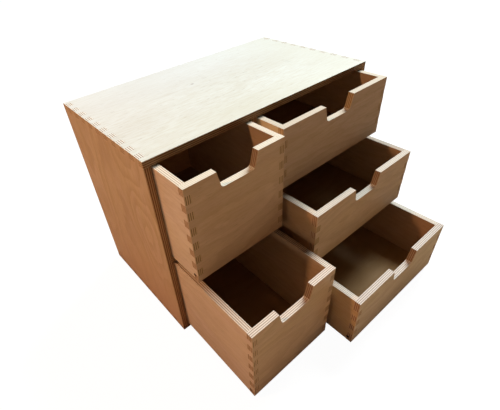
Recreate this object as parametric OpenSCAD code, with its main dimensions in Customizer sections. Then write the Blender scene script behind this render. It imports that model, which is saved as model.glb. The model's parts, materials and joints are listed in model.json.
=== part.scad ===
// Desktop chest of five small drawers in birch plywood.
// Millimetres, +Z up, front towards -Y, origin at the middle of the case's underside.
// The drawers are drawn at the pull-outs of the rest pose.

/* [Case] */
// Outside width of the case
case_width = 400; // [330:1:560]
// Outside depth of the case
case_depth = 225; // [210:1:320]
// Outside height of the case
case_height = 314; // [250:1:420]
// Thickness of every case board
case_board = 9; // [7:0.5:14]
// Clear width of the left bay
left_bay_width = 148.5; // [120:0.5:180]
// Thickness of the back board
back_board = 9; // [4:0.5:12]

/* [Shelves and divider] */
// Thickness of the centre divider
divider_board = 9; // [7:0.5:14]
// Thickness of each shelf
shelf_board = 9; // [7:0.5:14]
// Thickness of the tongues on shelves and divider
tongue_thickness = 4.5; // [3:0.25:6]
// Depth of the grooves for the tongues
tongue_depth = 5; // [2:0.25:5.5]

/* [Finger joints] */
// Width of one finger in the case corners
case_finger = 11; // [7:0.5:20]
// Width of one finger in the drawer corners
drawer_finger = 11; // [7:0.5:20]
// Least length left solid at each end of a row of fingers
finger_end = 7.5; // [4:0.25:12]

/* [Drawers] */
// Thickness of the drawer walls
drawer_board = 9; // [6:0.5:12]
// Thickness of the drawer bottoms
drawer_floor = 4; // [2.5:0.25:6]
// Height of a drawer's bottom above its lower edge
floor_lift = 6; // [4:0.25:10]
// Depth of the groove that holds a drawer's bottom
floor_groove = 4.5; // [2:0.25:5]
// Gap between a drawer's bottom and the foot of its groove
floor_slack = 0.5; // [0.1:0.05:1]
// Gap between a drawer and each side of its bay
drawer_side_gap = 1.1; // [0.5:0.05:2.5]
// Gap over a drawer
drawer_top_gap = 2; // [1:0.1:4]
// Gap behind a closed drawer
drawer_back_gap = 0.5; // [0.3:0.05:3]

/* [Finger pulls] */
// Width of the pull notch at the drawer's rim
pull_top_width = 60; // [44:0.5:90]
// Width of the pull notch at its foot
pull_foot_width = 49; // [30:0.5:80]
// Depth of the pull notch
pull_depth = 22.5; // [12:0.5:35]
// Radius of the two lower corners of the notch
pull_corner = 6; // [2:0.5:10]

/* [Rest pose] */
// Pull-out of the upper left drawer
upper_left_out = 58; // [0:1:190]
// Pull-out of the lower left drawer
lower_left_out = 152; // [0:1:190]
// Pull-out of the upper right drawer
upper_right_out = 45; // [0:1:190]
// Pull-out of the middle right drawer
middle_right_out = 108; // [0:1:190]
// Pull-out of the lower right drawer
lower_right_out = 190; // [0:1:190]

/* [Hidden] */
over = 1;

// Case, from the outside in
half_width = case_width / 2;
front_y = -case_depth / 2;
back_y = case_depth / 2;
back_inner_y = back_y - back_board;
floor_z = case_board;
ceiling_z = case_height - case_board;
inner_left_x = -half_width + case_board;
inner_right_x = half_width - case_board;
divider_left_x = inner_left_x + left_bay_width;
divider_right_x = divider_left_x + divider_board;
divider_tongue_x = divider_left_x + (divider_board - tongue_thickness) / 2;
right_bay_width = inner_right_x - divider_right_x;
bay_depth = back_inner_y - front_y;

// Heights of the bays and of the shelves between them
left_bay_height = (ceiling_z - floor_z - shelf_board) / 2;
right_bay_height = (ceiling_z - floor_z - 2 * shelf_board) / 3;
left_shelf_z = floor_z + left_bay_height;
right_step = right_bay_height + shelf_board;

// Drawers
drawer_length = bay_depth - drawer_back_gap;
left_drawer_width = left_bay_width - 2 * drawer_side_gap;
left_drawer_height = left_bay_height - drawer_top_gap;
right_drawer_width = right_bay_width - 2 * drawer_side_gap;
right_drawer_height = right_bay_height - drawer_top_gap;
floor_reach = floor_groove - floor_slack;

// Finger pull: how far each flank leans in, the turn of its lower corners and their reach along the foot
pull_lean = (pull_top_width - pull_foot_width) / 2;
pull_turn = atan2(pull_depth, pull_lean);
pull_reach = pull_corner * tan(pull_turn / 2);
pull_steps = 10;

// Fingers of one width, as many as fit, centred along the joint
function finger_count(run, finger) = max(1, floor((run - 2 * finger_end + finger) / (2 * finger)));
function finger_start(run, finger) = (run - (2 * finger_count(run, finger) - 1) * finger) / 2;

// A row of finger blocks along +Y, from the origin
module finger_row_y(run, finger, wide, high) {
    for (i = [0 : finger_count(run, finger) - 1])
        translate([0, finger_start(run, finger) + 2 * i * finger, 0])
            cube([wide, finger, high]);
}

// The same row along +Z
module finger_row_z(run, finger, wide, deep) {
    for (i = [0 : finger_count(run, finger) - 1])
        translate([0, 0, finger_start(run, finger) + 2 * i * finger])
            cube([wide, deep, finger]);
}

// ---- Case ----

// Flat board of the case with the sockets for both sides' fingers
module case_deck(low_z) {
    difference() {
        translate([-half_width, front_y, low_z])
            cube([case_width, case_depth, case_board]);
        translate([-half_width - over, front_y, low_z - over])
            finger_row_y(case_depth, case_finger, case_board + over, case_board + 2 * over);
        translate([inner_right_x, front_y, low_z - over])
            finger_row_y(case_depth, case_finger, case_board + over, case_board + 2 * over);
    }
}

// Groove for the divider's tongue, open at the front
module divider_groove(low_z) {
    translate([divider_tongue_x, front_y - over, low_z])
        cube([tongue_thickness, bay_depth + over, tongue_depth + over]);
}

module top_panel() {
    color("burlywood")
    difference() {
        case_deck(ceiling_z);
        divider_groove(ceiling_z - over);
    }
}

module bottom_panel() {
    color("burlywood")
    difference() {
        case_deck(0);
        divider_groove(floor_z - tongue_depth);
    }
}

// Upright side of the case: the wall between top and bottom, and its fingers through both
module case_upright(left_x) {
    translate([left_x, front_y, floor_z])
        cube([case_board, case_depth, ceiling_z - floor_z]);
    translate([left_x, front_y, 0])
        finger_row_y(case_depth, case_finger, case_board, case_height);
}

// Groove for one end of a shelf, open at the front
module shelf_groove(low_x, shelf_z) {
    translate([low_x, front_y - over, shelf_z + (shelf_board - tongue_thickness) / 2])
        cube([tongue_depth + over, bay_depth + over, tongue_thickness]);
}

module left_side() {
    color("peru")
    difference() {
        case_upright(-half_width);
        shelf_groove(inner_left_x - tongue_depth, left_shelf_z);
    }
}

module right_side() {
    color("peru")
    difference() {
        case_upright(inner_right_x);
        shelf_groove(inner_right_x - over, floor_z + right_bay_height);
        shelf_groove(inner_right_x - over, floor_z + right_bay_height + right_step);
    }
}

module centre_divider() {
    color("tan")
    difference() {
        union() {
            translate([divider_left_x, front_y, floor_z])
                cube([divider_board, bay_depth, ceiling_z - floor_z]);
            translate([divider_tongue_x, front_y, floor_z - tongue_depth])
                cube([tongue_thickness, bay_depth, ceiling_z - floor_z + 2 * tongue_depth]);
        }
        shelf_groove(divider_left_x - over, left_shelf_z);
        shelf_groove(divider_right_x - tongue_depth, floor_z + right_bay_height);
        shelf_groove(divider_right_x - tongue_depth, floor_z + right_bay_height + right_step);
    }
}

module back_panel() {
    color("burlywood")
    translate([inner_left_x, back_inner_y, floor_z])
        cube([inner_right_x - inner_left_x, back_board, ceiling_z - floor_z]);
}

// Shelf between two uprights, with a tongue along each end
module shelf(low_x, clear_width, shelf_z) {
    translate([low_x, front_y, shelf_z])
        cube([clear_width, bay_depth, shelf_board]);
    translate([low_x - tongue_depth, front_y, shelf_z + (shelf_board - tongue_thickness) / 2])
        cube([clear_width + 2 * tongue_depth, bay_depth, tongue_thickness]);
}

module left_shelf() {
    color("wheat")
    shelf(inner_left_x, left_bay_width, left_shelf_z);
}

module lower_right_shelf() {
    color("wheat")
    shelf(divider_right_x, right_bay_width, floor_z + right_bay_height);
}

module upper_right_shelf() {
    color("wheat")
    shelf(divider_right_x, right_bay_width, floor_z + right_bay_height + right_step);
}

// ---- Drawers, each drawn with its lower front left corner at the origin ----

// Rounded lower corner of the finger pull: side is 1 on the right and -1 on the left
function pull_corner_point(side, turn) = [
    side * (pull_foot_width / 2 - pull_reach + pull_corner * sin(turn)),
    pull_corner * (1 - cos(turn)) - pull_depth
];

// Outline of the finger pull, hung from the middle of the rim at y = 0
module pull_outline() {
    rise = pull_top_width / 2 + pull_lean * over / pull_depth;
    polygon(concat(
        [[-rise, over]],
        [for (k = [pull_steps : -1 : 0]) pull_corner_point(-1, pull_turn * k / pull_steps)],
        [for (k = [0 : pull_steps]) pull_corner_point(1, pull_turn * k / pull_steps)],
        [[rise, over]]
    ));
}

// End board of a drawer, with sockets for the side boards' fingers and the groove for the bottom
module drawer_end(wide, high, groove_y) {
    difference() {
        cube([wide, drawer_board, high]);
        translate([-over, -over, 0])
            finger_row_z(high, drawer_finger, drawer_board + over, drawer_board + 2 * over);
        translate([wide - drawer_board, -over, 0])
            finger_row_z(high, drawer_finger, drawer_board + over, drawer_board + 2 * over);
        translate([-over, groove_y, floor_lift])
            cube([wide + 2 * over, floor_groove + over, drawer_floor]);
    }
}

module drawer_front(wide, high) {
    color("sienna")
    difference() {
        drawer_end(wide, high, drawer_board - floor_groove);
        translate([wide / 2, drawer_board + over, high])
            rotate([90, 0, 0])
                linear_extrude(height = drawer_board + 2 * over)
                    pull_outline();
    }
}

module drawer_back(wide, high) {
    color("sienna")
    translate([0, drawer_length - drawer_board, 0])
        drawer_end(wide, high, -over);
}

// Side board of a drawer at low_x, with its groove cut into the face at groove_x
module drawer_side(low_x, groove_x, high) {
    color("chocolate")
    difference() {
        union() {
            translate([low_x, drawer_board, 0])
                cube([drawer_board, drawer_length - 2 * drawer_board, high]);
            translate([low_x, 0, 0])
                finger_row_z(high, drawer_finger, drawer_board, drawer_length);
        }
        translate([groove_x, -over, floor_lift])
            cube([floor_groove + over, drawer_length + 2 * over, drawer_floor]);
    }
}

module drawer_left(high) {
    drawer_side(0, drawer_board - floor_groove, high);
}

module drawer_right(wide, high) {
    drawer_side(wide - drawer_board, wide - drawer_board - over, high);
}

module drawer_bottom(wide) {
    color("bisque")
    translate([drawer_board - floor_reach, drawer_board - floor_reach, floor_lift])
        cube([
            wide - 2 * (drawer_board - floor_reach),
            drawer_length - 2 * (drawer_board - floor_reach),
            drawer_floor
        ]);
}

// Places of the five drawers in their bays at rest
module at_upper_left() {
    translate([inner_left_x + drawer_side_gap, front_y - upper_left_out, left_shelf_z + shelf_board])
        children();
}

module at_lower_left() {
    translate([inner_left_x + drawer_side_gap, front_y - lower_left_out, floor_z])
        children();
}

module at_upper_right() {
    translate([divider_right_x + drawer_side_gap, front_y - upper_right_out, floor_z + 2 * right_step])
        children();
}

module at_middle_right() {
    translate([divider_right_x + drawer_side_gap, front_y - middle_right_out, floor_z + right_step])
        children();
}

module at_lower_right() {
    translate([divider_right_x + drawer_side_gap, front_y - lower_right_out, floor_z])
        children();
}

module upper_left_drawer_front() {
    at_upper_left() drawer_front(left_drawer_width, left_drawer_height);
}

module upper_left_drawer_left_side() {
    at_upper_left() drawer_left(left_drawer_height);
}

module upper_left_drawer_right_side() {
    at_upper_left() drawer_right(left_drawer_width, left_drawer_height);
}

module upper_left_drawer_back() {
    at_upper_left() drawer_back(left_drawer_width, left_drawer_height);
}

module upper_left_drawer_bottom() {
    at_upper_left() drawer_bottom(left_drawer_width);
}

module lower_left_drawer_front() {
    at_lower_left() drawer_front(left_drawer_width, left_drawer_height);
}

module lower_left_drawer_left_side() {
    at_lower_left() drawer_left(left_drawer_height);
}

module lower_left_drawer_right_side() {
    at_lower_left() drawer_right(left_drawer_width, left_drawer_height);
}

module lower_left_drawer_back() {
    at_lower_left() drawer_back(left_drawer_width, left_drawer_height);
}

module lower_left_drawer_bottom() {
    at_lower_left() drawer_bottom(left_drawer_width);
}

module upper_right_drawer_front() {
    at_upper_right() drawer_front(right_drawer_width, right_drawer_height);
}

module upper_right_drawer_left_side() {
    at_upper_right() drawer_left(right_drawer_height);
}

module upper_right_drawer_right_side() {
    at_upper_right() drawer_right(right_drawer_width, right_drawer_height);
}

module upper_right_drawer_back() {
    at_upper_right() drawer_back(right_drawer_width, right_drawer_height);
}

module upper_right_drawer_bottom() {
    at_upper_right() drawer_bottom(right_drawer_width);
}

module middle_right_drawer_front() {
    at_middle_right() drawer_front(right_drawer_width, right_drawer_height);
}

module middle_right_drawer_left_side() {
    at_middle_right() drawer_left(right_drawer_height);
}

module middle_right_drawer_right_side() {
    at_middle_right() drawer_right(right_drawer_width, right_drawer_height);
}

module middle_right_drawer_back() {
    at_middle_right() drawer_back(right_drawer_width, right_drawer_height);
}

module middle_right_drawer_bottom() {
    at_middle_right() drawer_bottom(right_drawer_width);
}

module lower_right_drawer_front() {
    at_lower_right() drawer_front(right_drawer_width, right_drawer_height);
}

module lower_right_drawer_left_side() {
    at_lower_right() drawer_left(right_drawer_height);
}

module lower_right_drawer_right_side() {
    at_lower_right() drawer_right(right_drawer_width, right_drawer_height);
}

module lower_right_drawer_back() {
    at_lower_right() drawer_back(right_drawer_width, right_drawer_height);
}

module lower_right_drawer_bottom() {
    at_lower_right() drawer_bottom(right_drawer_width);
}

top_panel();
bottom_panel();
left_side();
right_side();
centre_divider();
back_panel();
left_shelf();
lower_right_shelf();
upper_right_shelf();
upper_left_drawer_front();
upper_left_drawer_left_side();
upper_left_drawer_right_side();
upper_left_drawer_back();
upper_left_drawer_bottom();
lower_left_drawer_front();
lower_left_drawer_left_side();
lower_left_drawer_right_side();
lower_left_drawer_back();
lower_left_drawer_bottom();
upper_right_drawer_front();
upper_right_drawer_left_side();
upper_right_drawer_right_side();
upper_right_drawer_back();
upper_right_drawer_bottom();
middle_right_drawer_front();
middle_right_drawer_left_side();
middle_right_drawer_right_side();
middle_right_drawer_back();
middle_right_drawer_bottom();
lower_right_drawer_front();
lower_right_drawer_left_side();
lower_right_drawer_right_side();
lower_right_drawer_back();
lower_right_drawer_bottom();
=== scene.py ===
"""Birch plywood desktop chest with five small drawers: its boards, finishes and studio."""

import json
import math
from collections import namedtuple
from random import Random

import bmesh
import bpy
from bpy.props import FloatProperty, FloatVectorProperty, IntProperty, PointerProperty
from mathutils import Euler, Matrix, Vector


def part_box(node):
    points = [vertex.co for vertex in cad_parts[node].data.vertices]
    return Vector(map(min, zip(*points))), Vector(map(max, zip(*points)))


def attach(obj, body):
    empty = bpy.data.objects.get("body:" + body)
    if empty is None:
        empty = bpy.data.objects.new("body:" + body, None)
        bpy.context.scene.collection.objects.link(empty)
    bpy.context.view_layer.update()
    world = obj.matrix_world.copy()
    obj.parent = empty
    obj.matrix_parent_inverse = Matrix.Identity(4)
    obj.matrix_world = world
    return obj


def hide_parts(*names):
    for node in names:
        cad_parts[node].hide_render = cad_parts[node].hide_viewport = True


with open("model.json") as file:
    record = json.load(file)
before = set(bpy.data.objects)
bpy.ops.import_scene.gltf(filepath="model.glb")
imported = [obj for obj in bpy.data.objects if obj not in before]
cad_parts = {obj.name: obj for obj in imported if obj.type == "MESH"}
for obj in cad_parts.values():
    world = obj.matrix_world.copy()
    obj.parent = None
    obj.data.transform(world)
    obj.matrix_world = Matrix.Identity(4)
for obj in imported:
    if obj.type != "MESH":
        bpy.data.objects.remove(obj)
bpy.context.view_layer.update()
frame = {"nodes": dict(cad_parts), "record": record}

bl_info = {
    "name": "Desktop Drawer Chest",
    "version": (1, 0, 0),
    "blender": (4, 5, 0),
    "location": "3D View > Sidebar > Chest",
    "description": "Builds the boards, finishes and studio of a small plywood drawer chest",
    "category": "Object",
}

AXIS = {"x": 0, "y": 1, "z": 2}
BOARD_THICKNESS = 0.009
BOTTOM_THICKNESS = 0.004
BODIES = frame["record"]["behaviour"]["bodies"]
DRAWERS = ("upper_left", "lower_left", "upper_right", "middle_right", "lower_right")


# ---------------------------------------------------------------- settings


def colour(name, description, default):
    """A colour property, written as linear red, green and blue."""
    return FloatVectorProperty(
        name=name, description=description, default=default,
        min=0.0, max=1.0, subtype="COLOR", size=3,
    )


def length(name, description, default, low, high):
    """A length property in metres."""
    return FloatProperty(
        name=name, description=description, default=default,
        min=low, max=high, unit="LENGTH", precision=5,
    )


def angle(name, description, degrees):
    """An angle property, given here in degrees."""
    return FloatProperty(
        name=name, description=description, default=math.radians(degrees), unit="ROTATION"
    )


def power(name, description, default):
    """The power of a lamp, in watts."""
    return FloatProperty(
        name=name, description=description, default=default, min=0.0, unit="POWER"
    )


class ChestBoards(bpy.types.PropertyGroup):
    """How the boards are finished at their edges."""

    arris: length("Eased edge", "Radius of the eased outer edges", 0.0007, 0.0001, 0.002)
    joint: length(
        "Joint line", "Width of the fine line along each glued joint", 0.00015, 0.00005, 0.0005
    )
    plies: IntProperty(
        name="Plies", description="Layers in a 9 mm board", default=7, min=3, max=13
    )
    floor_plies: IntProperty(
        name="Floor plies", description="Layers in a drawer bottom", default=3, min=3, max=5
    )


class ChestVeneers(bpy.types.PropertyGroup):
    """Colours of the birch, board by board."""

    # The top's veneer is near white and greyer than the other birch: painted light for the strong
    # light on the top.
    top: colour("Top", "Face veneer of the top panel", (0.868, 0.897, 0.88))
    side: colour("Sides", "Face veneer of the case sides and bottom", (0.59, 0.40, 0.234))
    drawer_side: colour(
        "Drawer sides", "Face veneer of the drawers' sides", (0.69, 0.525, 0.385)
    )
    front: colour("Fronts", "Face veneer of the drawers' fronts and backs", (0.757, 0.508, 0.31))
    inner: colour(
        "Inner boards", "Face veneer of the divider, shelves and back", (0.50, 0.33, 0.18)
    )
    floor: colour("Drawer bottoms", "Face veneer of the drawers' bottoms", (0.33, 0.20, 0.095))
    # The case's front edges are brown where the drawers' rims are cream: painted shade on edges
    # that face the front.
    case_edge: colour("Case edges", "Pale layers on the case's front edges", (0.49, 0.30, 0.15))
    rim: colour("Drawer rims", "Pale layers on the drawers' rims", (0.87, 0.79, 0.70))
    top_end: colour("Top end grain", "Pale layers of the top's fingers", (0.57, 0.365, 0.21))
    # The sides' finger ends show pale on the top: painted light on end grain that faces up.
    side_end: colour(
        "Side end grain", "Pale layers of the case sides' fingers", (0.88, 0.86, 0.80)
    )
    drawer_side_end: colour(
        "Drawer side end grain", "Pale layers of the drawer sides' fingers", (0.70, 0.455, 0.25)
    )
    front_end: colour(
        "Front end grain", "Pale layers of the fronts' fingers and pull", (0.58, 0.38, 0.235)
    )
    line: colour("Dark layers", "Dark layers, as a share of the pale ones", (0.36, 0.23, 0.16))


class ChestStudio(bpy.types.PropertyGroup):
    """Camera, lamps and surroundings."""

    eye: FloatVectorProperty(
        name="Camera place", description="Where the camera stands",
        default=(-0.33222, -0.43201, 0.51703), unit="LENGTH", size=3, precision=5,
    )
    azimuth: angle("Azimuth", "How far the camera is turned about the vertical", -36.91)
    elevation: angle("Elevation", "How far the camera looks down", 39.51)
    roll: angle("Roll", "How far the camera is turned about its line of sight", -5.11)
    focal: FloatProperty(
        name="Focal length", description="Millimetres on a 36 mm frame",
        default=26.586, min=10.0, unit="CAMERA",
    )
    shift_x: FloatProperty(
        name="Shift X", description="Sideways shift of the frame", default=0.0440
    )
    shift_y: FloatProperty(
        name="Shift Y", description="Upward shift of the frame", default=0.0073
    )
    key: power("Key", "Power of the warm lamp on the left", 10.1)
    glow: power("Glow", "Power of the wide warm lamp on the left", 5.3)
    window: power("Window", "Power of the cool lamp behind and above", 122.0)
    fill: FloatProperty(
        name="Fill", description="Strength of the even light all round", default=0.012, min=0.0
    )
    key_tint: colour("Key tint", "Colour of the warm lamp", (1.0, 0.55, 0.28))
    glow_tint: colour("Glow tint", "Colour of the wide warm lamp", (1.0, 0.78, 0.58))
    window_tint: colour("Window tint", "Colour of the cool lamp", (0.88, 0.985, 0.97))
    fill_tint: colour("Fill tint", "Colour of the even light all round", (1.0, 0.6, 0.4))
    floor_tint: colour("Floor tint", "Light that the floor gives back", (1.0, 0.78, 0.56))


# ---------------------------------------------------------------- node helpers

COLUMN, ROW, ROWS = 180, 140, 4  # how the nodes are spread in the editor
MIX_VALUES = (0, 2, 3)  # the Mix node's factor, first and second value
MIX_COLOURS = (0, 6, 7)  # its factor, first and second colour
FLOAT = "NodeSocketFloat"
VECTOR = "NodeSocketVector"

# An oval spot on a board: its middle and its reach along the plane's two axes in object metres,
# how strong it is there, and the colour it lays down.
Oval = namedtuple("Oval", "centre reach plane strength stain", defaults=(1.0, None))


class Graph:
    """Adds and links nodes in one node tree, laid out from left to right."""

    def __init__(self, tree):
        self.tree = tree
        self.column = 0

    def add(self, kind, **settings):
        """A new node with these settings."""
        node = self.tree.nodes.new(kind)
        node.location = (self.column * COLUMN, -(self.column % ROWS) * ROW)
        self.column += 1
        for key, value in settings.items():
            setattr(node, key, value)
        return node

    def feed(self, socket, value):
        """Links a socket, or sets it to a plain value."""
        if isinstance(value, bpy.types.NodeSocket):
            self.tree.links.new(value, socket)
        else:
            socket.default_value = value

    def attribute(self, name, output):
        """One output of the mesh attribute of this name."""
        return self.add("ShaderNodeAttribute", attribute_name=name).outputs[output]

    def split(self, vector):
        """The X, Y and Z outputs of a vector."""
        node = self.add("ShaderNodeSeparateXYZ")
        self.feed(node.inputs[0], vector)
        return node.outputs

    def math(self, operation, *values, clamp=False):
        """The result of a Math node."""
        node = self.add("ShaderNodeMath", operation=operation, use_clamp=clamp)
        for socket, value in zip(node.inputs, values):
            self.feed(socket, value)
        return node.outputs[0]

    def ramp(self, value, low, high):
        """0 below low, 1 above high, smooth between."""
        node = self.add("ShaderNodeMapRange", interpolation_type="SMOOTHSTEP")
        for name, item in (("Value", value), ("From Min", low), ("From Max", high)):
            self.feed(node.inputs[name], item)
        return node.outputs["Result"]

    def blend(self, factor, first, second):
        """A value between two others."""
        node = self.add("ShaderNodeMix", data_type="FLOAT")
        for index, value in zip(MIX_VALUES, (factor, first, second)):
            self.feed(node.inputs[index], value)
        return node.outputs[0]

    def mix(self, factor, first, second, blend="MIX"):
        """The second colour laid over the first."""
        node = self.add("ShaderNodeMix", data_type="RGBA", blend_type=blend, clamp_factor=True)
        for index, value in zip(MIX_COLOURS, (factor, first, second)):
            self.feed(node.inputs[index], value)
        return node.outputs[2]

    def stretch(self, vector, scale):
        """A vector with each axis scaled by its own factor."""
        node = self.add("ShaderNodeVectorMath", operation="MULTIPLY")
        self.feed(node.inputs[0], vector)
        self.feed(node.inputs[1], scale)
        return node.outputs[0]

    def noise(self, vector, detail=2.0, roughness=0.5, distortion=0.0):
        """Noise from 0 to 1, about one wave for each unit of the vector."""
        node = self.add("ShaderNodeTexNoise", noise_dimensions="3D")
        self.feed(node.inputs["Vector"], vector)
        node.inputs["Scale"].default_value = 1.0
        node.inputs["Detail"].default_value = detail
        node.inputs["Roughness"].default_value = roughness
        node.inputs["Distortion"].default_value = distortion
        return node.outputs["Fac"]

    def spot(self, oval):
        """1 in the middle of an oval, fading to 0 at its reach."""
        offset = self.add("ShaderNodeVectorMath", operation="SUBTRACT")
        self.feed(offset.inputs[0], self.add("ShaderNodeTexCoord").outputs["Object"])
        self.feed(offset.inputs[1], oval.centre)
        share = [0.0, 0.0, 0.0]
        for axis, reach in zip(oval.plane, oval.reach):
            share[AXIS[axis]] = 1.0 / reach
        distance = self.add("ShaderNodeVectorMath", operation="LENGTH")
        self.feed(distance.inputs[0], self.stretch(offset.outputs[0], share))
        return self.ramp(distance.outputs["Value"], 1.0, 0.0)

    def stain(self, base, oval):
        """The base colour with an oval's colour laid over it."""
        strength = self.math("MULTIPLY", self.spot(oval), oval.strength)
        return self.mix(strength, base, (*oval.stain, 1.0))


def node_group(name, inputs, outputs):
    """A new shader node group with its sockets: (graph, entry, exit)."""
    tree = bpy.data.node_groups.new(name, "ShaderNodeTree")
    for socket, kind, default in inputs:
        made = tree.interface.new_socket(socket, in_out="INPUT", socket_type=kind)
        if default is not None:
            made.default_value = default
    for socket, kind in outputs:
        tree.interface.new_socket(socket, in_out="OUTPUT", socket_type=kind)
    graph = Graph(tree)
    return graph, graph.add("NodeGroupInput"), graph.add("NodeGroupOutput")


def use_group(graph, tree, **values):
    """Places a node group in a graph, with its inputs fed by name."""
    node = graph.add("ShaderNodeGroup", node_tree=tree)
    for name, value in values.items():
        graph.feed(node.inputs[name], value)
    return node


# ---------------------------------------------------------------- birch figure

# Waves for each metre along and across the grain, or along the edge and through the board.
SWELL = (2.6, 8.5, 1.0)
RIPPLE = (22.0, 55.0, 1.0)
LAYER_WAVER = (45.0, 90.0, 1.0)
SAW_GRIT = (500.0, 2400.0, 1.0)

RIPPLE_SHARE = 1.1  # how far the ripple shifts a ring, in rings
LATE_WOOD = (0.15, 0.88)  # where in a ring its dark late wood starts and is full
RING_END = (1.0, 0.9)  # where it falls off again
WAVER_DEPTH = 0.0006  # how far a layer strays from its place in the board
DARK_LAYER = (-0.35, -0.9)  # where in the layers' wave the dark ones start and are full
GRIT_RANGE = (0.35, 0.75)  # the noise at which the grit is 0 and 1

# The figure's soft masks: waves for each metre along and across the grain, the noise's detail,
# roughness and distortion, and the noise at which the mask is 0 and 1.
Mask = namedtuple("Mask", "waves detail roughness distortion low high")
MASKS = {
    "Fibre": Mask((45.0, 330.0, 1.0), 3.0, 0.7, 0.0, 0.36, 0.68),
    "Fleck": Mask((90.0, 620.0, 1.0), 0.0, 0.5, 0.0, 0.74, 0.82),
    "Cloud": Mask((7.0, 16.0, 1.0), 3.0, 0.55, 0.5, 0.34, 0.68),
    "Blush": Mask((8.0, 34.0, 1.0), 2.0, 0.55, 0.6, 0.35, 0.65),
}


def birch_figure():
    """Rotary-cut birch: ring contours, fibres, flecks and soft patches, from metres along and
    across the grain."""
    graph, entry, exit_ = node_group(
        "Birch figure",
        [
            ("Grain", VECTOR, None),
            ("Rings", FLOAT, 40.0),
            ("Wander", FLOAT, 12.0),
            ("Eye", FLOAT, 0.0),
            ("Bend", FLOAT, 1.0),
        ],
        [(name, FLOAT) for name in ("Ring", *MASKS)],
    )
    grain = entry.outputs["Grain"]
    bent = graph.add("ShaderNodeVectorMath", operation="SCALE")
    graph.feed(bent.inputs[0], graph.stretch(grain, SWELL))
    graph.feed(bent.inputs["Scale"], entry.outputs["Bend"])
    swell = graph.noise(bent.outputs[0], detail=1.2, roughness=0.45)
    ripple = graph.noise(graph.stretch(grain, RIPPLE))
    phase = graph.math("MULTIPLY", graph.split(grain)["Y"], entry.outputs["Rings"])
    phase = graph.math("MULTIPLY_ADD", swell, entry.outputs["Wander"], phase)
    phase = graph.math("MULTIPLY_ADD", ripple, RIPPLE_SHARE, phase)
    phase = graph.math("FRACT", graph.math("ADD", phase, entry.outputs["Eye"]))
    late = graph.math("MULTIPLY", graph.ramp(phase, *LATE_WOOD), graph.ramp(phase, *RING_END))
    graph.feed(exit_.inputs["Ring"], late)
    for name, mask in MASKS.items():
        place = graph.stretch(grain, mask.waves)
        noise = graph.noise(place, mask.detail, mask.roughness, mask.distortion)
        graph.feed(exit_.inputs[name], graph.ramp(noise, mask.low, mask.high))
    return graph.tree


def ply_layers():
    """Layers on a board's cut edge: 0 on a pale layer and 1 on a dark one, from metres along the
    edge and through the board, and the grit that the saw leaves."""
    graph, entry, exit_ = node_group(
        "Ply layers",
        [
            ("Edge", VECTOR, None),
            ("Thickness", FLOAT, BOARD_THICKNESS),
            ("Plies", FLOAT, 7.0),
            ("Width", FLOAT, 0.0),
        ],
        [("Layer", FLOAT), ("Grit", FLOAT)],
    )
    edge = entry.outputs["Edge"]
    waver = graph.noise(graph.stretch(edge, LAYER_WAVER))
    waver = graph.math("MULTIPLY_ADD", waver, WAVER_DEPTH, -WAVER_DEPTH / 2)
    depth = graph.math("ADD", graph.split(edge)["Y"], waver)
    layer = graph.math("MULTIPLY", depth, entry.outputs["Plies"])
    layer = graph.math("DIVIDE", layer, entry.outputs["Thickness"])
    layer = graph.math("MULTIPLY", graph.math("SUBTRACT", layer, 0.5), math.pi)
    wave = graph.math("SUBTRACT", graph.math("COSINE", layer), entry.outputs["Width"])
    grit = graph.noise(graph.stretch(edge, SAW_GRIT), roughness=0.7)
    graph.feed(exit_.inputs["Layer"], graph.ramp(wave, *DARK_LAYER))
    graph.feed(exit_.inputs["Grit"], graph.ramp(grit, *GRIT_RANGE))
    return graph.tree


# ---------------------------------------------------------------- finishes

# Shares of the face veneer's colour: its ground, its dark grain and its pale blush. A fleck is a
# share of the dark grain.
GROUND = (1.04, 1.04, 1.04)
DARK_GRAIN = (0.72, 0.62, 0.50)
BLUSH = (1.07, 1.06, 1.3)
FLECK = (0.6, 0.6, 0.6)

FIBRE_ROUGHNESS = 0.10  # added to a face's roughness along its fibres
EDGE_ROUGHNESS = 0.50
GRIT_ROUGHNESS = 0.20
SUNK_LAYER = -0.8  # the dark layers' depth, as a share of the grit's height
BUMP_STRENGTH = 0.2
BUMP_HEIGHT = 0.0001
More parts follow.
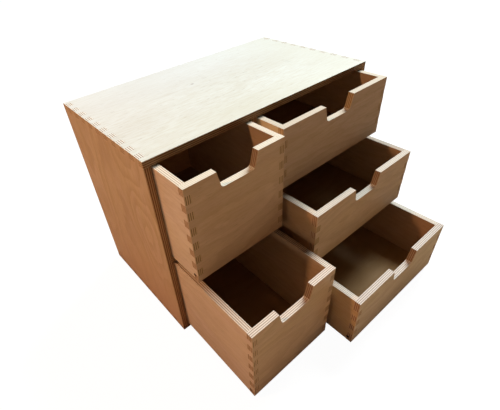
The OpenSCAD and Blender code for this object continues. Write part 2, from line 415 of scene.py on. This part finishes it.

# The finish of each kind of board.
#   edge, end                 which veneer colours its cut edges and its finger ends have
#   rings, wander, bend       rings for each metre, how far they stray, and how tightly they turn
#   inside                    share of its colour on faces that look into the body
#   ring ... fleck            strength of each part of the figure
#   line, end_line, grit      strength of the dark layers and of the saw's grit
#   inside                    share of its colour on faces that look into the body: painted shade
#   gloss, shine              roughness and specular level of its faces
#   eyes, marks               ovals that bend the rings, and ovals of another colour, some of them painted light and shade
LOOKS = {
    "top": dict(
        name="Top birch", edge="case_edge", end="top_end",
        rings=8.0, wander=11.0, bend=1.2, inside=(0.8, 0.7, 0.6),
        ring=0.09, cloud=0.2, blush=0.15, fibre=0.38, fleck=0.5,
        line=1.0, end_line=0.7, grit=0.16, ply_width=0.35, end_width=0.2,
        gloss=0.40, shine=0.3,
        marks=(
            Oval((-0.035, 0.0245, 0.314), (0.0045, 0.0028), "xy", 0.85, (0.20, 0.10, 0.06)),
            Oval((-0.09, 0.0195, 0.314), (0.055, 0.0035), "xy", 0.22, (0.50, 0.40, 0.30)),
            Oval((0.125, -0.0175, 0.314), (0.009, 0.012), "xy", 0.22, (0.50, 0.52, 0.46)),
            # The next four ovals are painted light and shade over the top: a yellower front, a
            # darker right end, and a lighter, cooler back.
            Oval((-0.05, -0.14, 0.314), (0.35, 0.12), "xy", 0.4, (0.85, 0.85, 0.72)),
            Oval((0.24, 0.0, 0.314), (0.2, 0.3), "xy", 0.8, (0.80, 0.79, 0.73)),
            Oval((-0.2, 0.06, 0.314), (0.2, 0.22), "xy", 0.3, (0.95, 0.95, 0.97)),
            Oval((-0.03, 0.09, 0.314), (0.3, 0.13), "xy", 0.5, (0.90, 0.935, 1.0)),
        ),
    ),
    "side": dict(
        name="Outer side birch", edge="case_edge", end="side_end",
        rings=9.0, wander=11.0, bend=1.1, inside=(0.82, 0.76, 0.68),
        ring=0.44, cloud=0.20, blush=0.6, fibre=0.26, fleck=0.3,
        line=1.0, end_line=1.0, grit=0.06, ply_width=0.35, end_width=0.1,
        gloss=0.42, shine=0.3,
        eyes=(Oval((0.0, -0.0655, 0.196), (0.055, 0.13), "yz", 4.0),),
        marks=(
            # Both ovals are painted light and shade: the lower one paints the side's foot redder,
            # the upper one paints shade over its top at the back.
            Oval((0.0, -0.06, 0.0), (0.3, 0.22), "yz", 0.6, (0.67, 0.385, 0.215)),
            Oval((0.0, 0.12, 0.32), (0.32, 0.12), "yz", 0.4, (0.50, 0.335, 0.21)),
        ),
    ),
    "drawer_side": dict(
        name="Drawer side birch", edge="rim", end="drawer_side_end",
        rings=50.0, wander=12.0, bend=1.3, inside=(0.82, 0.76, 0.68),
        ring=0.18, cloud=0.14, blush=0.40, fibre=0.28, fleck=0.3,
        line=1.0, end_line=0.95, grit=0.16, ply_width=0.0, end_width=0.15,
        gloss=0.42, shine=0.3,
    ),
    "front": dict(
        name="Drawer front birch", edge="rim", end="front_end",
        rings=26.0, wander=14.0, bend=1.1, inside=(0.82, 0.76, 0.68),
        ring=0.28, cloud=0.16, blush=0.35, fibre=0.28, fleck=0.3,
        line=1.0, end_line=0.95, grit=0.24, ply_width=0.0, end_width=0.3,
        gloss=0.42, shine=0.3,
    ),
    "inner": dict(
        name="Inner birch", edge="case_edge", end="case_edge",
        rings=60.0, wander=14.0, bend=1.0, inside=(0.82, 0.76, 0.68),
        ring=0.22, cloud=0.12, blush=0.2, fibre=0.10, fleck=0.2,
        line=1.0, end_line=1.0, grit=0.16, ply_width=0.35, end_width=0.35,
        gloss=0.45, shine=0.3,
    ),
    "floor": dict(
        name="Drawer bottom birch", edge="case_edge", end="case_edge",
        rings=30.0, wander=12.0, bend=1.0, inside=(1.0, 1.0, 1.0),
        ring=0.22, cloud=0.12, blush=0.1, fibre=0.10, fleck=0.2,
        line=0.9, end_line=0.9, grit=0.16, ply_width=0.0, end_width=0.0,
        gloss=0.35, shine=0.04,
    ),
}


def shade(rgb, share):
    """A colour multiplied by a share of each channel, as a node colour."""
    return tuple(min(1.0, c * k) for c, k in zip(rgb, share)) + (1.0,)


def veneer_colour(graph, recipe, face, figure):
    """Colour of a board's faces: the birch's figure, then the board's marks, some of them painted
    light and shade, then painted shade on faces that look into the body.
    """
    dark = shade(face, DARK_GRAIN)
    tints = {
        "Blush": shade(face, BLUSH),
        "Ring": dark,
        "Cloud": dark,
        "Fibre": dark,
        "Fleck": shade(dark, FLECK),
    }
    veneer = shade(face, GROUND)
    for mask, tint in tints.items():
        strength = graph.math("MULTIPLY", figure.outputs[mask], recipe[mask.lower()])
        veneer = graph.mix(strength, veneer, tint)
    for mark in recipe.get("marks", ()):
        veneer = graph.stain(veneer, mark)
    # Painted shade on the faces that look into the body.
    inside = graph.mix(1.0, veneer, (*recipe["inside"], 1.0), blend="MULTIPLY")
    return graph.mix(graph.attribute("inside", "Fac"), veneer, inside)


def sawn_colour(graph, recipe, colours, layers, is_end, line_share):
    """Colour of a board's cut edges and finger ends: pale layers with dark ones between."""
    edge, end, line = colours
    pale = graph.mix(is_end, (*edge, 1.0), (*end, 1.0))
    dark = graph.mix(is_end, shade(edge, line), shade(end, line))
    strength = graph.blend(is_end, recipe["line"], recipe["end_line"])
    strength = graph.math("MULTIPLY", layers.outputs["Layer"], strength)
    sawn = graph.mix(graph.math("MULTIPLY", strength, line_share), pale, dark)
    grit = graph.math("MULTIPLY", layers.outputs["Grit"], recipe["grit"])
    return graph.mix(grit, sawn, dark)


def lacquered_birch(look, figure_group, layers_group):
    """Satin-lacquered birch plywood. The board's UV map holds metres along and across the grain
    on its faces, and metres along the edge and through the board on its cut edges."""
    veneers = bpy.context.scene.chest_veneers
    boards = bpy.context.scene.chest_boards
    recipe = LOOKS[look]
    face = tuple(getattr(veneers, look))
    cut_colours = [tuple(getattr(veneers, key)) for key in (recipe["edge"], recipe["end"], "line")]

    material = bpy.data.materials.new(recipe["name"])
    material.use_nodes = True
    graph = Graph(material.node_tree)
    shader = material.node_tree.nodes["Principled BSDF"]
    place = graph.add("ShaderNodeUVMap", uv_map="Grain").outputs["UV"]
    is_edge, is_end, line_share = graph.split(graph.attribute("cut", "Vector"))

    eye = 0.0
    for oval in recipe.get("eyes", ()):
        eye = graph.math("MULTIPLY_ADD", graph.spot(oval), oval.strength, eye)
    figure = use_group(
        graph, figure_group,
        Grain=place, Rings=recipe["rings"], Wander=recipe["wander"], Eye=eye, Bend=recipe["bend"],
    )
    thin = look == "floor"
    layers = use_group(
        graph, layers_group,
        Edge=place,
        Thickness=BOTTOM_THICKNESS if thin else BOARD_THICKNESS,
        Plies=float(boards.floor_plies if thin else boards.plies),
        Width=graph.blend(is_end, recipe["ply_width"], recipe["end_width"]),
    )

    veneer = veneer_colour(graph, recipe, face, figure)
    sawn = sawn_colour(graph, recipe, cut_colours, layers, is_end, line_share)
    body = graph.mix(is_edge, veneer, sawn)
    # Each face's tone multiplies its colour; most tones are painted light and shade.
    tone = graph.attribute("tone", "Color")
    graph.feed(shader.inputs["Base Color"], graph.mix(1.0, body, tone, blend="MULTIPLY"))

    fibre, grit = figure.outputs["Fibre"], layers.outputs["Grit"]
    face_gloss = graph.math("MULTIPLY_ADD", fibre, FIBRE_ROUGHNESS, recipe["gloss"])
    edge_gloss = graph.math("MULTIPLY_ADD", grit, GRIT_ROUGHNESS, EDGE_ROUGHNESS)
    graph.feed(shader.inputs["Roughness"], graph.blend(is_edge, face_gloss, edge_gloss))
    shader.inputs["Specular IOR Level"].default_value = recipe["shine"]

    edge_height = graph.math("MULTIPLY_ADD", layers.outputs["Layer"], SUNK_LAYER, grit)
    bump = graph.add("ShaderNodeBump")
    bump.inputs["Strength"].default_value = BUMP_STRENGTH
    bump.inputs["Distance"].default_value = BUMP_HEIGHT
    graph.feed(bump.inputs["Height"], graph.blend(is_edge, fibre, edge_height))
    graph.feed(shader.inputs["Normal"], bump.outputs["Normal"])
    return material


def birch(look):
    """The birch of one kind of board, made on first use and then shared."""
    made = bpy.data.materials.get(LOOKS[look]["name"])
    if made:
        return made
    figure = bpy.data.node_groups.get("Birch figure") or birch_figure()
    layers = bpy.data.node_groups.get("Ply layers") or ply_layers()
    return lacquered_birch(look, figure, layers)


# ---------------------------------------------------------------- boards

MERGE = 1e-6  # corners nearer than this are one
FLAT = math.radians(0.5)  # faces that turn less than this are one
CREASE = math.radians(20)  # edges that turn less than this stay sharp
SAME_PLANE = 1e-5
LONG_EDGE = 0.025  # an edge in one outer plane is an arris if it is longer, else part of a joint
GRAIN_START = 5.0  # a board's grain starts anywhere within this length of the figure
RECESS_SHADE = 0.2  # painted shade: tone of the cut edges in a body's lower half that look into it, such as a groove's
FLANK_SHADE = 0.8  # painted shade: tone of the end grain in its upper half that looks into it

# Each board's tone, as shares of its face, rim and finger end colours, and the strength of the
# dark layers on its upper edge. Most tones are painted light and shade: the upper left drawer's
# rims lighter, the right drawers' rims darker, the lower fronts lighter and the upper right one
# darker, some sides lighter and those in their neighbours' shade darker.
WHITE = (1.0, 1.0, 1.0)
Tone = namedtuple("Tone", "face rim end line", defaults=(WHITE, WHITE, WHITE, 1.0))
TONES_AND_PAINTED_LIGHT = {
    "bottom_panel": Tone(end=(0.6, 0.36, 0.2)),
    "left_side": Tone(end=(1.1, 1.11, 1.14)),
    "right_side": Tone(end=(0.96, 0.97, 0.97)),
    "upper_left_drawer_front": Tone(rim=(1.12, 1.13, 1.09), line=0.35),
    "upper_left_drawer_left_side": Tone(rim=(1.12, 1.1, 1.05), end=(1.08, 1.1, 1.12), line=0.75),
    "upper_left_drawer_right_side": Tone(rim=(1.08, 1.08, 1.05), line=0.4),
    "lower_left_drawer_front": Tone(face=(1.18, 1.29, 1.33), rim=(1.05, 1.0, 1.0)),
    "lower_left_drawer_left_side": Tone(
        face=(1.0, 0.97, 0.95), rim=(1.0, 0.91, 0.86), end=(1.36, 1.47, 1.62)
    ),
    "lower_left_drawer_right_side": Tone(face=(1.1, 1.12, 1.1), end=(1.1, 1.15, 1.2)),
    "upper_right_drawer_front": Tone(
        face=(0.84, 0.84, 0.88), rim=(0.92, 0.89, 0.84), end=(1.28, 1.35, 1.2), line=0.35
    ),
    "upper_right_drawer_left_side": Tone(
        face=(1.07, 1.08, 0.9), rim=(0.93, 0.92, 0.88), end=(0.9, 0.9, 0.95), line=0.4
    ),
    "upper_right_drawer_right_side": Tone(rim=(0.93, 0.92, 0.88), end=(0.9, 0.9, 0.95), line=0.4),
    "middle_right_drawer_front": Tone(face=(1.03, 1.08, 1.12), rim=(0.88, 0.87, 0.87), line=0.6),
    "middle_right_drawer_left_side": Tone(face=(0.79, 0.66, 0.5), rim=(0.91, 0.85, 0.8), line=0.6),
    "middle_right_drawer_right_side": Tone(rim=(0.66, 0.6, 0.56), line=0.7),
    "lower_right_drawer_front": Tone(face=(1.25, 1.54, 1.74), rim=(0.9, 0.89, 0.94)),
    "lower_right_drawer_left_side": Tone(
        face=(0.84, 0.72, 0.5), rim=(1.0, 0.95, 0.94), end=(1.35, 1.5, 1.65), line=0.8
    ),
    "lower_right_drawer_right_side": Tone(face=(0.9, 0.8, 0.78)),
}


def envelope(nodes):
    """Lowest and highest corner of several CAD nodes together."""
    boxes = [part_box(node) for node in nodes]
    low = Vector([min(box[0][k] for box in boxes) for k in range(3)])
    high = Vector([max(box[1][k] for box in boxes) for k in range(3)])
    return low, high


def clean_solid(node):
    """A copy of the node's CAD solid, with its corners merged and its flat faces whole."""
    work = bmesh.new()
    work.from_mesh(frame["nodes"][node].data)
    bmesh.ops.remove_doubles(work, verts=work.verts, dist=MERGE)
    bmesh.ops.dissolve_limit(work, angle_limit=FLAT, verts=work.verts, edges=work.edges)
    return work


def lay_birch(work, node, grain, low, high):
    """Lays the grain in metres, marks the cut edges and the faces that look into the body, which
    get painted shade, and gives each face its tone, mostly painted light and shade."""
    corner, far_corner = (Vector(point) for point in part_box(node))
    size = far_corner - corner
    through = min(range(3), key=lambda k: size[k])
    along = AXIS[grain]
    across = 3 - through - along
    centre = (low[through] + high[through]) / 2
    pick = Random(node)
    start = (pick.uniform(0, GRAIN_START), pick.uniform(0, GRAIN_START))
    tones = TONES_AND_PAINTED_LIGHT.get(node, Tone())
    uv = work.loops.layers.uv.new("Grain")
    cut = work.faces.layers.float_vector.new("cut")
    tint = work.faces.layers.float_vector.new("tone")
    inside = work.faces.layers.float.new("inside")
    for face in work.faces:
        face.smooth = False
        facing = max(range(3), key=lambda k: abs(face.normal[k]))
        on_edge = facing != through
        on_end = on_edge and facing == along
        for loop in face.loops:
            place = loop.vert.co
            if on_edge:
                beside = 3 - through - facing
                loop[uv].uv = (place[beside] + start[0], place[through] - corner[through])
            else:
                loop[uv].uv = (place[along] + start[0], place[across] + start[1])
        middle = face.calc_center_median()
        outermost = any(abs(middle[facing] - end[facing]) < SAME_PLANE for end in (low, high))
        tone = Vector(tones.end if on_end else tones.rim if on_edge else tones.face)
        # Cut edges that look into the body get painted shade.
        if on_edge and not outermost:
            if middle.z < (low.z + high.z) / 2:
                tone *= RECESS_SHADE
            elif on_end:
                tone *= FLANK_SHADE
        face[tint] = tone
        face[cut] = (float(on_edge), float(on_end), tones.line if facing == 2 else 1.0)
        # Faces that look into the body are marked for painted shade.
        looks_in = (centre - middle[through]) * face.normal[through] > 0
        face[inside] = float(not on_edge and looks_in)


def outer_planes(edge, low, high):
    """How many planes of the body's outline box the edge lies in."""
    ends = [vert.co for vert in edge.verts]
    return sum(
        all(abs(end[k] - plane[k]) < SAME_PLANE for end in ends)
        for k in range(3)
        for plane in (low, high)
    )


def weigh_edges(work, low, high):
    """Weights of the eased edges: outer arrises in full, and joint lines a hair."""
    boards = bpy.context.scene.chest_boards
    weight = work.edges.layers.float.new("bevel_weight_edge")
    for edge in work.edges:
        if not edge.is_manifold or not edge.is_convex or edge.calc_face_angle(0.0) < CREASE:
            continue
        planes = outer_planes(edge, low, high)
        outer = planes > 1 or (planes == 1 and edge.calc_length() > LONG_EDGE)
        edge[weight] = 1.0 if outer else boards.joint / boards.arris


def board(node, body, grain, look):
    """Makes one finished board in place of its CAD solid."""
    low, high = envelope(BODIES[body])
    work = clean_solid(node)
    lay_birch(work, node, grain, low, high)
    weigh_edges(work, low, high)
    mesh = bpy.data.meshes.new(node + "_board")
    work.to_mesh(mesh)
    work.free()
    mesh.materials.append(birch(look))
    piece = bpy.data.objects.new(node + "_board", mesh)
    bpy.context.scene.collection.objects.link(piece)
    bevel = piece.modifiers.new("Eased edges", "BEVEL")
    bevel.limit_method = "WEIGHT"
    bevel.width = bpy.context.scene.chest_boards.arris
    bevel.segments = 2
    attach(piece, body)
    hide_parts(node)


# ---------------------------------------------------------------- studio

FLOOR_REACH = 8.0  # half the floor's width
FLOOR_ROUGHNESS = 0.9
SEEN_FLOOR = (0.12, 0.125, 0.135, 1.0)  # the floor as the camera sees it, without its white
NEAR_FLOOR = Oval((0.0, -0.1, 0.0), (0.7, 0.7), "xy", 0.85, (0.28, 0.09, 0.035))
AROUND = Oval((0.0, 0.0, 0.0), (1.6, 1.6), "xy")  # where the white is a little lower
NEAR_WHITE = 0.965
FAR_GAIN = 0.035
SHEEN = 0.1  # how bright the white surroundings are in the lacquer's reflections
PLAIN_WHITE = (1.0, 1.0, 1.0, 1.0)
BLACK = (0.0, 0.0, 0.0, 1.0)
FRAME_WIDTH = 36.0  # the camera's frame, in millimetres


def floor_finish(tint):
    """White to the camera, with a pale shadow, and a dim warm light back to the chest."""
    material = bpy.data.materials.new("Studio floor")
    material.use_nodes = True
    graph = Graph(material.node_tree)
    shader = material.node_tree.nodes["Principled BSDF"]
    shader.inputs["Roughness"].default_value = FLOOR_ROUGHNESS
    shader.inputs["Specular IOR Level"].default_value = 0.0
    rays = graph.add("ShaderNodeLightPath")
    camera, glossy = rays.outputs["Is Camera Ray"], rays.outputs["Is Glossy Ray"]
    base = graph.mix(camera, graph.stain((*tint, 1.0), NEAR_FLOOR), SEEN_FLOOR)
    graph.feed(shader.inputs["Base Color"], graph.mix(glossy, base, BLACK))
    seen = graph.math("MULTIPLY_ADD", glossy, SHEEN, camera)
    far = graph.math("SUBTRACT", 1.0, graph.spot(AROUND))
    white = graph.math("MULTIPLY_ADD", far, FAR_GAIN, NEAR_WHITE)
    shader.inputs["Emission Color"].default_value = PLAIN_WHITE
    graph.feed(shader.inputs["Emission Strength"], graph.math("MULTIPLY", white, seen))
    return material


def studio_floor(tint):
    """A large pale floor under the chest."""
    mesh = bpy.data.meshes.new("studio_floor")
    work = bmesh.new()
    bmesh.ops.create_grid(work, x_segments=1, y_segments=1, size=FLOOR_REACH)
    work.to_mesh(mesh)
    work.free()
    mesh.materials.append(floor_finish(tint))
    floor = bpy.data.objects.new("studio_floor", mesh)
    bpy.context.scene.collection.objects.link(floor)


def studio_world(strength, tint):
    """Even light all round, seen as plain white by the camera and dimly in reflections."""
    world = bpy.data.worlds.new("Studio world")
    world.use_nodes = True
    bpy.context.scene.world = world
    graph = Graph(world.node_tree)
    background = world.node_tree.nodes["Background"]
    rays = graph.add("ShaderNodeLightPath")
    seen = graph.math("ADD", rays.outputs["Is Camera Ray"], rays.outputs["Is Transmission Ray"])
    seen = graph.math("MULTIPLY_ADD", rays.outputs["Is Glossy Ray"], SHEEN, seen, clamp=True)
    fill = tuple(strength * share for share in tint) + (1.0,)
    graph.feed(background.inputs["Color"], graph.mix(seen, fill, PLAIN_WHITE))


def area_lamp(name, place, aim, **settings):
    """An area lamp at place that shines towards aim."""
    data = bpy.data.lights.new(name, "AREA")
    for key, value in settings.items():
        setattr(data, key, value)
    light = bpy.data.objects.new(name, data)
    light.location = place
    light.rotation_euler = (Vector(aim) - Vector(place)).to_track_quat("-Z", "Y").to_euler()
    bpy.context.scene.collection.objects.link(light)
    return light


def studio_lamps(studio):
    """The small warm lamp, the wide warm one low on the left, and the cool one behind."""
    area_lamp(
        "key", place=(-1.2, 0.267, 1.345), aim=(0.0, -0.1, 0.15),
        energy=studio.key, color=studio.key_tint, shape="DISK", size=0.10,
    )
    glow = area_lamp(
        "glow", place=(-1.7, 0.15, 0.16), aim=(-0.2, -0.05, 0.15),
        energy=studio.glow, color=studio.glow_tint, shape="RECTANGLE", size=1.6, size_y=0.28,
    )
    glow.visible_glossy = False
    area_lamp(
        "window", place=(1.95, 0.47, 2.48), aim=(0.04, -0.1, 0.1),
        energy=studio.window, color=studio.window_tint, shape="RECTANGLE", size=1.3, size_y=1.3,
    )


def studio_camera(studio):
    """The camera, turned by its azimuth, elevation and roll."""
    data = bpy.data.cameras.new("camera")
    data.sensor_width = FRAME_WIDTH
    data.lens = studio.focal
    data.shift_x = studio.shift_x
    data.shift_y = studio.shift_y
    camera = bpy.data.objects.new("camera", data)
    aim = Euler((math.pi / 2 - studio.elevation, 0.0, studio.azimuth)).to_matrix()
    turn = aim @ Matrix.Rotation(studio.roll, 3, "Z")
    camera.matrix_world = Matrix.Translation(Vector(studio.eye)) @ turn.to_4x4()
    bpy.context.scene.collection.objects.link(camera)
    bpy.context.scene.camera = camera


# ---------------------------------------------------------------- operators and panel


class CHEST_OT_case_decks(bpy.types.Operator):
    """Make the case's top and bottom panels"""

    bl_idname = "chest.case_decks"
    bl_label = "Top and Bottom"

    def execute(self, context):
        board("top_panel", "case", "x", "top")
        board("bottom_panel", "case", "x", "side")
        return {"FINISHED"}


class CHEST_OT_case_uprights(bpy.types.Operator):
    """Make the case's sides, centre divider and back"""

    bl_idname = "chest.case_uprights"
    bl_label = "Sides, Divider and Back"

    def execute(self, context):
        board("left_side", "case", "z", "side")
        board("right_side", "case", "z", "side")
        board("centre_divider", "case", "z", "inner")
        board("back_panel", "case", "x", "inner")
        return {"FINISHED"}


class CHEST_OT_shelves(bpy.types.Operator):
    """Make the three shelves between the drawers"""

    bl_idname = "chest.shelves"
    bl_label = "Shelves"

    def execute(self, context):
        for node in ("left_shelf", "lower_right_shelf", "upper_right_shelf"):
            board(node, "case", "x", "inner")
        return {"FINISHED"}


class CHEST_OT_drawer_walls(bpy.types.Operator):
    """Make the front, sides and back of every drawer"""

    bl_idname = "chest.drawer_walls"
    bl_label = "Drawer Walls"

    def execute(self, context):
        for drawer in DRAWERS:
            body = drawer + "_drawer"
            board(body + "_front", body, "x", "front")
            board(body + "_back", body, "x", "front")
            board(body + "_left_side", body, "y", "drawer_side")
            board(body + "_right_side", body, "y", "drawer_side")
        return {"FINISHED"}


class CHEST_OT_drawer_floors(bpy.types.Operator):
    """Make the thin bottom of every drawer"""

    bl_idname = "chest.drawer_floors"
    bl_label = "Drawer Bottoms"

    def execute(self, context):
        for drawer in DRAWERS:
            body = drawer + "_drawer"
            board(body + "_bottom", body, "x", "floor")
        return {"FINISHED"}


class CHEST_OT_studio(bpy.types.Operator):
    """Set up the floor, the lamps and the camera"""

    bl_idname = "chest.studio"
    bl_label = "Studio"

    def execute(self, context):
        studio = context.scene.chest_studio
        studio_floor(studio.floor_tint)
        studio_world(studio.fill, studio.fill_tint)
        studio_lamps(studio)
        studio_camera(studio)
        context.scene.view_settings.view_transform = "Standard"
        return {"FINISHED"}


OPERATORS = (
    CHEST_OT_case_decks,
    CHEST_OT_case_uprights,
    CHEST_OT_shelves,
    CHEST_OT_drawer_walls,
    CHEST_OT_drawer_floors,
    CHEST_OT_studio,
)
GROUPS = {"chest_boards": ChestBoards, "chest_veneers": ChestVeneers, "chest_studio": ChestStudio}


class CHEST_PT_panel(bpy.types.Panel):
    """The chest's settings and the buttons that build it"""

    bl_idname = "CHEST_PT_panel"
    bl_label = "Drawer Chest"
    bl_space_type = "VIEW_3D"
    bl_region_type = "UI"
    bl_category = "Chest"

    def draw(self, context):
        for name in GROUPS:
            group = getattr(context.scene, name)
            box = self.layout.box()
            for setting in group.__annotations__:
                box.prop(group, setting)
        for operator in OPERATORS:
            self.layout.operator(operator.bl_idname)


def register():
    """Registers the property groups, operators and panel."""
    for name, group in GROUPS.items():
        bpy.utils.register_class(group)
        setattr(bpy.types.Scene, name, PointerProperty(type=group))
    for item in (*OPERATORS, CHEST_PT_panel):
        bpy.utils.register_class(item)


def unregister():
    """Removes what register added."""
    for item in reversed((*OPERATORS, CHEST_PT_panel)):
        bpy.utils.unregister_class(item)
    for name, group in GROUPS.items():
        delattr(bpy.types.Scene, name)
        bpy.utils.unregister_class(group)


def main():
    """Builds the whole chest and its studio."""
    register()
    bpy.ops.chest.studio()
    bpy.ops.chest.case_decks()
    bpy.ops.chest.case_uprights()
    bpy.ops.chest.shelves()
    bpy.ops.chest.drawer_walls()
    bpy.ops.chest.drawer_floors()


if __name__ == "__main__":
    main()
